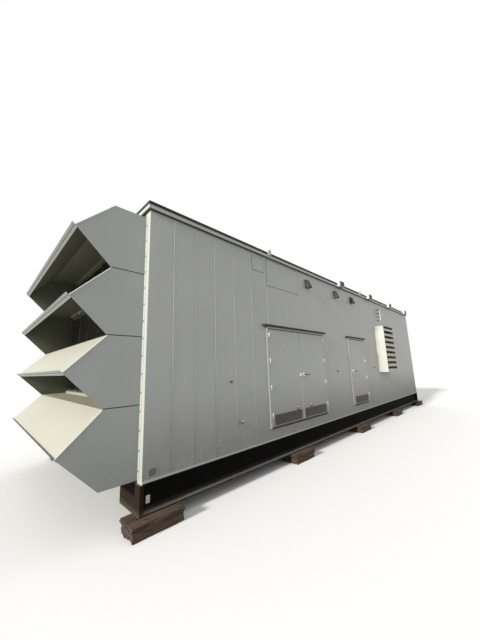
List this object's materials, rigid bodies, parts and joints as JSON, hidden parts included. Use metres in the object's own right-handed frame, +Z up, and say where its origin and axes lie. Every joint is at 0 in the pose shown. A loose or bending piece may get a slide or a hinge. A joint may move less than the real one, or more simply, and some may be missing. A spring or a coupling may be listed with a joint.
{
  "type": "diesel generator set in a walk-in weather enclosure",
  "caption": "Walk-in enclosure of a diesel generator set on a steel skid, with stacked intake hoods, outward doors, a louvred hood and timber packing.",
  "frame": {"origin": "on the ground under the middle of the whole object's box", "axes": "+X along the length, away from the intake hoods; +Y from the door side to the back; +Z up"},
  "size_m": [16.4674, 5.42, 5],
  "materials": {
    "wall_paint": "two-part polyurethane gloss, light grey",
    "hood_paint": "powder-coated folded sheet, grey",
    "louvre_paint": "powder-coated folded sheet, off-white",
    "trim_paint": "powder-coated folded sheet, pale grey",
    "roof_black": "bitumen-black roof coating",
    "skid_black": "black chassis paint, dusty",
    "floor_steel": "painted steel plate",
    "timber": "weathered sawn softwood",
    "bright_steel": "zinc-plated and stainless steel",
    "kick_steel": "scuffed dark steel plate",
    "guard_steel": "galvanised flat bar",
    "lamp_bronze": "dark bronze enamel and dark cast fittings"
  },
  "bodies": {
    "enclosure": {"timber_packing": "timber", "timber_boards": "timber", "skid_front_rail": "skid_black", "skid_back_rail": "skid_black", "floor_beams": "skid_black", "floor_plate": "floor_steel", "front_wall_left": "wall_paint", "front_wall_middle": "wall_paint", "front_wall_right": "wall_paint", "front_wall_over_doors": "wall_paint", "front_wall_under_doors": "wall_paint", "back_wall": "wall_paint", "right_end_wall": "wall_paint", "left_end_wall_jambs": "trim_paint", "left_end_wall_rails": "trim_paint", "intake_posts": "guard_steel", "base_strip": "trim_paint", "roof_trim": "trim_paint", "roof_panel": "roof_black", "hood_side_panels": "hood_paint", "hood_1_cover": "hood_paint", "hood_2_cover": "hood_paint", "hood_3_cover": "hood_paint", "hood_4_cover": "hood_paint", "hood_floor": "hood_paint", "hood_flanges": "hood_paint", "door_jambs": "trim_paint", "door_heads": "trim_paint", "door_thresholds": "skid_black", "door_drip_caps": "lamp_bronze", "frame_hinges": "bright_steel", "louvre_casing": "louvre_paint", "louvre_blades": "louvre_paint", "wall_lamps": "lamp_bronze", "wall_plates": "wall_paint", "skid_plate": "bright_steel", "wall_fittings": "lamp_bronze", "lifting_lugs": "trim_paint", "roof_edge_boxes": "trim_paint"},
    "left_door": {"left_leaf": "wall_paint", "left_kick_plate": "kick_steel", "left_leaf_fittings": "bright_steel"},
    "right_door": {"right_leaf": "wall_paint", "right_kick_plate": "kick_steel", "right_leaf_fittings": "bright_steel", "meeting_strip": "trim_paint"},
    "single_door": {"single_leaf": "wall_paint", "single_kick_plate": "kick_steel", "single_leaf_fittings": "bright_steel"},
    "right_handle": {"right_lever": "lamp_bronze"},
    "single_handle": {"single_lever": "lamp_bronze"}
  },
  "joints": [
    {"name": "left_door_swing", "type": "hinge", "parent": "enclosure", "child": "left_door", "pos_m": [-4.2673, -2.409, 0.885], "axis": [0, 0, -1], "range_deg": [0, 110]},
    {"name": "right_door_swing", "type": "hinge", "parent": "enclosure", "child": "right_door", "pos_m": [-1.8153, -2.409, 0.885], "axis": [0, 0, 1], "range_deg": [0, 110]},
    {"name": "single_door_swing", "type": "hinge", "parent": "enclosure", "child": "single_door", "pos_m": [1.2712, -2.409, 0.885], "axis": [0, 0, 1], "range_deg": [0, 110]},
    {"name": "right_lever_turn", "type": "hinge", "parent": "right_door", "child": "right_handle", "pos_m": [-2.9723, -2.397, 1.95], "axis": [0, 1, 0], "range_deg": [0, 45], "stiffness_Nm_per_rad": 1.5, "springref_deg": -34.38},
    {"name": "single_lever_turn", "type": "hinge", "parent": "single_door", "child": "single_handle", "pos_m": [0.1142, -2.397, 1.95], "axis": [0, 1, 0], "range_deg": [0, 45], "stiffness_Nm_per_rad": 1.5, "springref_deg": -34.38}
  ]
}
